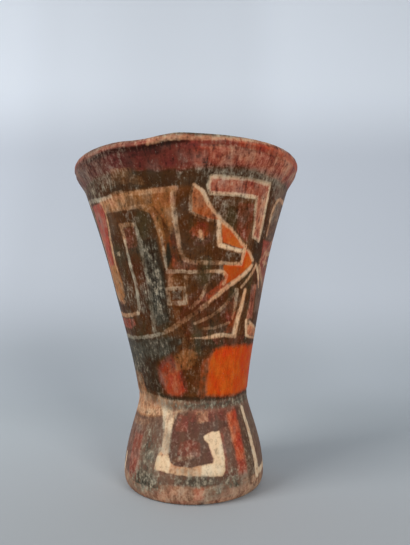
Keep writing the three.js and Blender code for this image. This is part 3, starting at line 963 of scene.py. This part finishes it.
patch("red", [(-9.2, 121.5), (-5.4, 121.5), (-4.3, 114.5), (-7.8, 111.5), (-8.6, 109.5)], 2.5, -0.32)
patch("orange", [(-9, 124), (-6.2, 124), (-4.3, 114.5), (-8.6, 110)], 2.5, -0.4)
patch("wine", [(-9.5, 131), (-7.4, 130), (-6, 121), (-6.5, 113), (-8.6, 113)], 1.6, -0.05)
stroke("black", [(-11.4, 119), (-11.8, 113.8), (-12.4, 109)], [1.4, 4, 1.2], 1.1, 2)
patch("wine", [(-3, 138), (2, 138), (2, 116), (-3, 118)], 3, -0.25)
patch("red", [(-9, 113.5), (-2.5, 112.3), (6, 109.7), (6, 108), (-8.5, 108.5)], 2, -0.25)
patch("red", [
    (-70, 142), (-53.5, 141.5), (-53.5, 136.9), (-55.4, 129.5), (-57.9, 121.5), (-58.3, 113.5),
    (-60.8, 109.5), (-70.8, 108.5)], 1.2, 0.6)
patch("orange", [(-70, 124), (-58.5, 124), (-57.5, 112), (-70, 112)], 4, -0.3)
patch("ochre", [
    (-70.8, 111.5), (-57.8, 111.5), (-54.8, 107.5), (-53.5, 101.5), (-55, 96.5), (-60, 93.5), (-67, 94),
    (-71, 97.5)], 1.6, 0.4)
stroke("buff", [
    (-52.5, 136.9), (-53.4, 129.5), (-55.4, 123.5), (-56.8, 117.5), (-56.8, 111.5), (-56.3, 108.5)],
    [1, 1.4, 1.8, 1.8, 1.4, 1], 1, 0.15)
stroke("buff", [
    (-74, 144), (-71.9, 134.8), (-70.3, 119.5), (-70, 104.5), (-70, 96.5), (-64, 93), (-57, 93.7)],
    1.2, 1.2, -0.1)
stroke("buff", [(-41.9, 129.3), (-35.9, 129.1), (-30.9, 128.5)], 0.9, 1.2, -0.17)
stroke("buff", [(-40.7, 129.3), (-40.5, 123.5), (-40.4, 117)], [1.6, 1.4, 0.8], 1, -0.05)
stroke("bone", [(-40.5, 122), (-40.4, 111.5), (-39.2, 103.5)], [0.8, 1.4, 1.1], 1, -0.1)
stroke("bone", [(-39.2, 103.5), (-39.6, 96.5), (-40.6, 90.5), (-42.3, 87.8)],
       [1.1, 1.3, 1.4, 1.3], 1, -0.07)
stroke("buff", [(-42.3, 87.8), (-50, 87.1), (-60, 86.5), (-78, 87.3)], [1.2, 1, 1.5, 1.5], 1.1, -0.03)
stroke("bone", [
    (-30.4, 128.5), (-29.5, 123.5), (-28.4, 111.5), (-27.7, 103.5), (-28.7, 95.5), (-29, 85.5),
    (-29.5, 79.5)], 1.1, 1.3, -0.2)
patch("red", [(-38.4, 127), (-31.4, 127.5), (-30.8, 119.5), (-38.3, 118.5)], 2, -0.27)
patch("maroon", [(-37.8, 118.5), (-30.8, 118.5), (-30.5, 91.5), (-39, 91.5)], 2.5, -0.27)
patch("red", [(-78, 85), (-50, 84.8), (-49, 82.5), (-58, 80), (-78, 81)], 1.4, 0.02)
patch("cream", [(-51.3, 117), (-48.3, 117.5), (-48.8, 115.5), (-51.3, 115.7)], 1.2, -0.1)
patch("black", [(-27.9, 121.5), (-17.9, 121.5), (-14.8, 107.5), (-15, 83.5), (-27, 81.5), (-27.9, 99.5)],
      3, 0.3)

# lines at its foot
stroke("bone", [(-78, 76.1), (-60, 75.5), (-50, 75.8), (-40, 76.3), (-30, 77.2), (-22, 78.3)],
       [1.5, 1.1, 1, 0.9, 0.9, 0.8], 1.1, -0.12)
stroke("buff", [
    (-22, 78.3), (-14, 80.5), (-10, 82.2), (-5, 84.2), (0, 86.2), (6, 88.7), (12, 91.5), (18, 94.6)],
    [0.9, 1.1, 1.1, 1, 1, 1, 1.1, 1.2], 1.3, -0.22)
both_arrows(stroke, "buff", [
    (14, 92.6), (18, 94.5), (24, 97.7), (30.4, 100.9), (35.9, 103.3), (41.2, 106), (46.7, 109.3)],
    [1, 1.4, 1.7, 1.9, 2, 2, 1.8], 1, 0.15)
both_arrows(stroke, "buff", [(30.4, 101), (35.9, 103.4), (41.2, 106.1), (47.2, 109.8)],
            [1, 1.6, 1.7, 1.6], 1, 0.6)
stroke("buff", [(1, 90), (6, 92.8), (10, 96.5), (12.2, 100.5)], 0.8, 0.9, -0.22)

# stepped wing and arrow
both_arrows(patch, "orange", [
    (4, 143), (8, 140.5), (11, 136.9), (15.1, 132.6), (18.6, 129.3), (10.1, 130.8), (3.4, 133), (3.3, 140)],
    1.4, -0.05)
both_arrows(patch, "ochre", [(4, 143), (8, 140.5), (15.1, 132.6), (10.1, 130.8), (3.4, 133), (3.3, 140)],
            1.6, -0.2)
patch("black", [(4.5, 141.5), (7, 140), (9.5, 135.5), (6.5, 135.5), (4.5, 138)], 1.4, -0.2)
both_arrows(stroke, "buff", [(4, 144), (2.4, 140), (2.3, 132.4), (9.1, 130.6), (17.6, 128.4)],
            0.8, 1, -0.25)
both_arrows(stroke, "buff", [
    (3.7, 144), (8.3, 141.2), (10.8, 137.5), (14.9, 133.1), (19.4, 129.1), (26, 125.9)],
    [0.8, 1.3, 1.4, 1.2, 1.2, 1.2], 1, 0.02)
both_arrows(stroke, "cream", [(5, 143.2), (8.3, 141.2), (10.8, 137.5), (13, 135)],
            [0.4, 0.9, 0.9, 0.4], 1, -0.3)
both_arrows(stroke, "buff", [(26, 125.9), (32, 121.9), (37, 118.7), (42, 116.1), (47.2, 112.6)],
            [1.1, 1.1, 1.2, 1.4, 1.5], 1, 0.2)
both_arrows(patch, "orange", [
    (19.6, 128.5), (26.1, 125.3), (32.1, 121.5), (37.2, 118.3), (35.7, 117.5), (28.2, 118.4), (21.6, 119.7),
    (20.1, 125.5)], 1, 0.9)
both_arrows(patch, "ochre", [
    (19.6, 128.5), (26.1, 125.3), (35, 119.5), (35, 118.3), (24, 119.5), (20.8, 121), (20.1, 125.5)],
    1.8, -0.15)
both_arrows(stroke, "cream", [(17.9, 128.5), (18.4, 124.5), (19.8, 118.6)], [0.6, 1, 1.5], 1, -0.32)
both_arrows(stroke, "buff", [(17.9, 128.5), (18.4, 124.5), (19.8, 118.6)], [1.6, 2, 2.2], 1, 0.2)
both_arrows(stroke, "buff", [(19.8, 118.3), (27.2, 117.2), (35.2, 116.2), (37.5, 116.3)],
            [1.7, 1.4, 1.4, 1.6], 1, 0.35)
both_arrows(stroke, "cream", [(19.8, 118.3), (27.2, 117.2), (37.5, 116.3)], [1.2, 0.9, 0.9], 1, -0.05)
both_arrows(stroke, "buff", [(38.2, 118), (37.6, 114.5), (37, 111)], [2.2, 2.1, 1.7], 0.9, 0.6)
both_arrows(patch, "black", [(24.7, 115.3), (35.5, 114.5), (36, 111.7), (25, 111.5)], 1.2, -0.2)
both_arrows(stroke, "buff", [(21.2, 110.5), (29.2, 110.2), (37.2, 110.3)], 1.2, 1, 0.05)
both_arrows(patch, "orange", [
    (23.2, 109.8), (37.2, 109.8), (38.7, 117.3), (42.2, 115.7), (47, 112.5), (46.2, 110.1), (41.2, 107.1),
    (36, 104.5), (30.6, 102.1), (26.4, 101.1), (24.9, 104), (23.7, 107.1)], 0.8, 1.5)
both_arrows(patch, "wine", [(23, 109), (34, 108), (44, 108), (30, 101.5), (25, 101)], 2.5, -0.2)
both_arrows(patch, "ochre", [(23, 110), (40, 110), (41, 116), (47, 112), (44, 107), (30, 101.5), (25, 101)],
            1.5, -0.36)
both_arrows(patch, "red", [(27.3, 103.5), (24.7, 99.6), (12, 93.6), (9, 94), (20.3, 99.6)], 2.8, -0.12)
both_arrows(patch, "orange", [(28, 104), (25, 99.6), (14, 94.6), (13, 95.6), (22, 100.5)], 2.6, -0.17)
both_arrows(stroke, "buff", [
    (15.2, 106.5), (21.2, 106.6), (23.7, 106.2), (26.4, 105), (25.6, 102.3), (24.6, 100.8)],
    [0.9, 1.3, 1.4, 1, 1, 1], 1, 0.05)

# fine lines and an eye left of the arrow
stroke("buff", [(5.2, 106.6), (15.2, 106.5)], 0.9, 1, -0.25)
coats(stroke, [(-13.1, 106.7), (-4.8, 106.8), (5.2, 106.6)],
      ("buff", [1, 0.8, 0.6], 1, -0.25), ("bone", [0.9, 0.8, 0.5], 1, -0.28))
patch("ochre", [(-12.8, 106), (-1.8, 106.5), (-1.5, 101.5), (-12.7, 100.5)], 3, -0.4)
coats(stroke, [(-14, 92.3), (-14.1, 98.9), (-2.8, 99.3), (-2.4, 92.5), (-14.4, 92.3)],
      ("bone", [1.3, 0.9, 0.6, 1, 1.3], 1, -0.22), ("ochre", [1.6, 1.2, 1.2, 2, 1.6], 1.2, -0.12))
patch("black", [(-12.3, 94), (-4.5, 94), (-4.5, 97.8), (-12.3, 97.6)], 1.5, -0.2)
for path in ([(-11, 94.6), (-8, 95.6), (-6, 98)], [(-6, 94.9), (-8, 96.4), (-10.4, 97.4)]):
    stroke("bone", path, 0.6, 1, -0.24)
stroke("buff", [(-12.2, 100.5), (-11.4, 106.5)], 1, 1.3, -0.27)
stroke("buff", [(-1.6, 100), (-1.2, 104)], 0.9, 1.3, -0.3)

# worn ring under the wing
both_arrows(patch, "orange", [(3.1, 124), (6.1, 127.3), (11.1, 127.3), (11.6, 124), (9.1, 122)], 3, -0.27)
both_arrows(patch, "red", [(2.5, 123), (6, 128), (12, 128), (13, 123.5), (9, 120.5)], 3.5, -0.4)
both_arrows(stroke, "buff", [(8, 124.2), (8.8, 121.2)], 1.1, 1, 0.1)
stroke("maroon", [(3.5, 121.5), (5, 125.5), (9, 127.5), (13, 125.5), (13.5, 121), (10, 118.5), (5.5, 119)],
       0.8, 1, -0.2)

# dark ground between the arrows
patch("black", [(45.1, 121.5), (47.2, 114.5), (52.7, 111.3), (57.2, 114.5), (56.1, 121.5), (51.1, 120.5)],
      1.6, 0.05)
patch("black", [(52, 147), (56, 147), (55, 120), (51.8, 120)], 1.6, -0.02)

# hooks over the arrows
HOOK = [
    (43.3, 123.1), (50.6, 121.7), (50.4, 134.8), (49.5, 147.8), (30.6, 147.8), (12.3, 147.6), (11, 143.8),
    (12, 141), (25, 140.7), (40.9, 140.7), (42.2, 134.8), (43.3, 128.5), (43.3, 123.1)]
coats(patch, HOOK, ("red", 1, 0.3), ("buff", 1, -0.3))
patch("buff", [(43, 140), (48, 144), (50.1, 123.5), (45.1, 123.5)], 2, -0.1)
stroke("cream", HOOK, [1, 1.2, 1.6, 1.5, 1.2, 1.2, 1.2, 1.1, 1.2, 1.3, 1.3, 1.2, 1], 1, -0.03)
stroke("cream", [(50.5, 130), (50.3, 137), (49.6, 146.5)], [0.8, 1.2, 1], 1, 0.12)
patch("red", [(29, 136.9), (39, 136.9), (40.1, 127.5), (38.1, 121.5), (31.1, 125.5)], 2.5, -0.17)
stroke("buff", [
    (93, 142), (79, 143.4), (66, 143.4), (62, 142), (59.8, 138.9), (58.8, 132.6), (58.8, 125.5)],
    [1.3, 1.4, 1.4, 1.4, 1.6, 1.5, 1], 1.1, 0.08)
patch("brown", [(60, 140), (76, 140), (76, 124), (59, 124)], 3, 0.05)
patch("brown", [(54, 149), (80, 149), (80, 143), (54, 143)], 3, 0.1)
patch("red", [(56, 122.5), (71.1, 122.5), (73.2, 112.5), (58.2, 111.5)], 2, 0.2)
stroke("buff", [(62.2, 112.1), (78.2, 111.8)], 1, 1, -0.1)
patch("brown", [(59, 109), (78, 109), (78, 88), (62, 88)], 3, 0.05)

# gable over the two arrows' tails
stroke("buff", [(39.7, 99.6), (44.8, 103.2), (49.2, 106.7), (52.7, 110.3)], [1.1, 1.2, 1.3, 1.6], 1, 0.08)
stroke("buff", [(52.7, 110.5), (56.4, 107.5), (60.8, 103), (63.7, 99.9)], [1.7, 1.5, 1.2, 1], 1, 0.15)
stroke("cream", [(52.7, 110.2), (56.4, 107.3), (60, 103.8)], [0.8, 1, 0.5], 1, 0)
stroke("buff", [(3, 82.8), (10, 84.4), (17, 86.6), (22, 88.5), (27, 90.9), (31, 94.1), (34.5, 96.8)],
       [0.6, 0.7, 0.8, 0.8, 0.9, 1, 1.1], 1, -0.17)
stroke("buff", [(35.5, 98), (36, 93.5), (35.6, 88.5), (35, 84.5)], [2, 1.4, 0.9, 0.7], 1, -0.12)
stroke("bone", [(35.4, 98), (35.9, 93.5)], [1.6, 1], 1, -0.2)
stroke("buff", [(10, 80.1), (20, 81.1), (32, 82.7)], [0.5, 0.6, 0.7], 1, -0.2)
stroke("buff", [(44, 98.1), (42.2, 90.5), (40.3, 84.5), (38.5, 78)], [2, 2.5, 2.8, 3.1], 1, 0.4)
stroke("cream", [(42.2, 91), (40.3, 84.5), (38.7, 78)], [1, 1.2, 1.6], 1, -0.15)
stroke("buff", [(0, 75.8), (8, 75.9), (14, 76.4), (22, 77), (27, 77.1), (33, 76.5), (40, 76.2)],
       [0, 0.2, 1, 1.9, 1.7, 1.5, 1.5], 1, 0.1)
stroke("cream", [(17, 76.8), (22, 77), (27, 77.1), (33, 76.6)], [0.5, 1, 1, 0.6], 1.1, -0.17)
patch("red", [(28, 91.5), (34, 94.5), (34, 84), (30, 83.5)], 2, -0.2)
patch("orange", [(28, 78.5), (37, 78.5), (38, 83.5), (36, 87.5), (33, 81.5)], 2, -0.15)
patch("wine", [(45, 99), (49.5, 99), (49.5, 78), (42.5, 78)], 2, -0.33)
patch("ochre", [(45.5, 97.5), (49.5, 97.5), (49.5, 77.5), (44, 77.5)], 2.5, -0.4)
coats(patch, [(51.3, 100.5), (57.5, 100.5), (59, 84.5), (51.5, 84.5)], ("red", 2, 0.1), ("buff", 2, -0.3))
coats(patch, [(54, 80.5), (58, 81.5), (78, 77.5), (78, 75), (56, 76.5)],
      ("orange", 1.5, 0), ("buff", 2, -0.1))
stroke("buff", [(50.8, 83.5), (53.5, 76.3), (60, 75.3), (78, 73.5)], [1.6, 1.5, 1, 1], 1, 0.25)
stroke("cream", [(50.6, 83.5), (53.3, 76.3), (58, 75.6)], [0.6, 0.8, 0.5], 1, -0.15)
stroke("buff", [(55, 83), (58, 81.5), (68, 79.7), (78, 78.3)], [1, 1.6, 1.4, 1.3], 1, 0.2)

# collar and lip
ring("black", 143.5, 151.5, 3, -0.1)
COLLAR_EDGE = [
    (-95, 152), (-60, 152), (-45, 153), (-30, 153), (-15, 151), (0, 151), (15, 152), (30, 152.7),
    (45, 152.5), (60, 151.3), (95, 151.3)]
patch("brown", [(-95, 149), (-38, 149), (-32, 162), (-95, 162)], 3, -0.1)
patch("black", [(6, 152), (14, 152.8), (50, 153), (60, 151), (60, 147), (6, 147)], 3, -0.1)
patch("maroon", COLLAR_EDGE[3:] + [(95, 186), (-30, 186)], 3.2, 0.35)
patch("maroon", COLLAR_EDGE[:4] + [(-25, 186), (-95, 186)], 2.5, 0.2)
patch("black", [(-28, 151), (14, 150.5), (14, 144), (-28, 144)], 3, 0.08)
patch("wine", [(-34, 161), (-27, 154), (-20, 151.5), (-8, 150.5), (0, 153), (-4, 156), (4, 161)], 4, -0.18)
patch("wine", [(-26, 160.5), (-20, 157), (-8, 157), (0, 160.5)], 3, -0.05)
patch("red", [(-24, 152), (-4, 151.5), (-4, 155.5), (-24, 156.5)], 2.5, -0.2)
patch("red", [(4, 152.6), (24, 153), (52, 153.2), (64, 152), (96, 152), (96, 159), (3, 159)], 5, 0.12)
patch("red", [(-14, 151.6), (12, 152), (12, 158), (-8, 158)], 5, -0.12)
# pale buff on the right of the collar: worn slip, and partly a painted highlight where the collar catches
# the light
patch("buff", [(14, 154.6), (30, 155), (54, 156), (90, 155), (90, 157.8), (12, 158)], 5, -0.3)
patch("buff", [(16, 156), (34, 155.6), (34, 157.6), (16, 157.8)], 2.5, -0.24)
patch("orange", [(6, 153.5), (40, 153.5), (64, 152.5), (64, 156), (40, 157), (6, 157)], 6, -0.28)
stroke("red", [(-2, 160.8), (15, 161), (30, 161), (60, 160.8), (90, 160.8)],
       [1.6, 2.4, 2.8, 3.4, 3.4], 1.4, 0.3)
stroke("orange", [(24, 161), (36, 160.8), (60, 160.8), (84, 160.8)], [1, 2, 2.6, 2.4], 1.6, -0.15)
# the wine lines darken the groove under the lip, most on its left
stroke("wine", [(-62, 159.4), (-46, 159.8), (-30, 160.1), (-15, 160.3), (-4, 160.5), (2, 160.6)],
       [0.4, 1.8, 2.8, 3.2, 2.4, 1.2], 1.3, 0.5)
stroke("wine", [(-4, 160.2), (14, 160.2), (30, 160), (50, 159.4)], [1.8, 1.8, 1.8, 1], 1.5, -0.17)
ring("red", 161.4, 184, 1.4, 0.02)
ring("buff", 162.2, 172, 1.4, -0.35)
patch("buff", [(-16, 161.2), (8, 161.6), (30, 163.2), (46, 163.6), (46, 172), (-16, 172)], 1.8, -0.08)
ring("bone", 163.6, 178, 1.4, -0.3)
stroke("wine", [(50, 162.6), (90, 162.6)], 2.4, 1.6, -0.3)
patch("ochre", [(-39.3, 147), (-27.4, 147.5), (-27, 152.5), (-38, 153)], 2, -0.25)
patch("ochre", [(-27, 147), (-21, 145.5), (-22, 148), (-28, 150.5)], 2, -0.25)
patch("black", [(-43, 144.5), (-29, 144), (-27.3, 147), (-39.7, 149)], 2, 0.1)

# crust, rubbed places, dirt and film
cloud("crust", (-23, 103, 5.5, 9, 0.6), (-21.5, 94, 5, 7, 0.65), (-22.5, 117, 5, 8, 0.5),
      (-38, 98, 5, 9, 0.35), (-50, 98, 6, 7, 0.5), (-30, 106, 3, 18, 0.3), (-34, 91, 5, 8, 0.3),
      (-7, 96, 6, 4.5, 0.4), (29, 113.8, 4, 1.5, 0.4), (18, 137, 9, 4, 0.4), (32, 149.5, 34, 2.6, 0.6),
      (-58, 148, 22, 6, 0.5), (10, 166, 22, 2.6, 1.8), (-48, 165, 28, 3, 0.8))
cloud("rub", (10, 105, 45, 30, -0.3), (-12, 115, 4, 9, -2.0), (-9, 125, 4, 8, -1.0), (47, 90, 4, 12, -0.8),
      (14, 103.5, 8, 3, 1.4), (-34, 92, 6, 8, -0.6), (-48, 99, 6, 10, 0.9), (29, 113.5, 6, 2.5, 1.0),
      (22, 134, 12, 6, 1.3), (68, 140, 12, 14, 1.9), (32, 151, 34, 3, 1.7), (-62, 155, 22, 9, 0.9),
      (0, 158, 400, 7, 0.3), (-12, 156, 20, 6, -1.3), (-50, 148, 20, 4, 0.6), (26, 157.3, 20, 2, 0.6),
      (30, 147.5, 24, 3, 0.9), (-46, 163, 22, 2.4, 1.6))
# the last two dirt clouds, at rise 159.4, darken the same groove
cloud("dirt", (-24, 100, 7, 18, 0.8), (-28, 139, 26, 4, -0.7), (-14, 159.4, 10, 1.6, 1.6),
      (-42, 159.4, 9, 1.5, 0.8))
cloud("film", (-23, 100, 7, 22, 0.9), (-32, 90, 16, 10, 0.5))

walls = ["wall_coil_1", "wall_coil_2", "wall_coil_3", "wall_coil_4", "wall_coil_5", "collar_coil"]
for node, above in zip(walls, walls[1:]):
    finish_piece(node, "band_slip" if node == "wall_coil_1" else "wall_slip", *coil_skins(node, above))

# Collar coil and lip coil
# The collar is bent outwards at the top of the wall. The lip is one last coil, rolled over and pinched
# round. Both are slipped red, and the lip is worn grey where it was handled.
LIP_COIL_DROP = 4.5  # the lip coil's joint lies this far under the middle of the lip
LIP_JOINT = LIP_MIDDLE - LIP_COIL_DROP - JOINT_SLANT / 2  # its outer edge
INNER_STEPS = 4  # rows down the inside
INNER_SPARE = 0.8  # the spare row lies this far under the joint's inner edge


def lip_skin():
    """The lip from its joint outside, over the half round, and down the inside to the joint."""
    half = LIP_THICKNESS / 2
    up = np.linspace(LIP_JOINT, LIP_MIDDLE, math.ceil((LIP_MIDDLE - LIP_JOINT) / FINE))
    turn = np.linspace(0, math.pi, math.ceil(math.pi * half / FINE))[1:-1]
    down = np.linspace(LIP_MIDDLE, LIP_JOINT + JOINT_SLANT, INNER_STEPS)
    up = np.insert(up, 0, LIP_JOINT - FINE)
    down = np.append(down, down[-1] - INNER_SPARE)
    over = MOUTH_RADIUS - half + half * np.cos(turn)
    radius = np.concatenate([outer_radius(up), over, inner_radius(down)])
    height = np.concatenate([up, LIP_MIDDLE + half * np.sin(turn), down])
    rise = np.concatenate([up, LIP_MIDDLE + half * turn, INSIDE_RISE - down])
    fade = smooth_share((rise - LIP_MIDDLE) / (math.pi * half))[:, None]
    return Skin(radius, height, rise, lambda r: outside_relief(r) * (1 - fade) + inside_relief(r) * fade)


finish_piece("collar_coil", "rim_slip", *coil_skins("collar_coil", "lip_coil", LIP_JOINT))
finish_piece("lip_coil", "rim_slip", lip_skin())
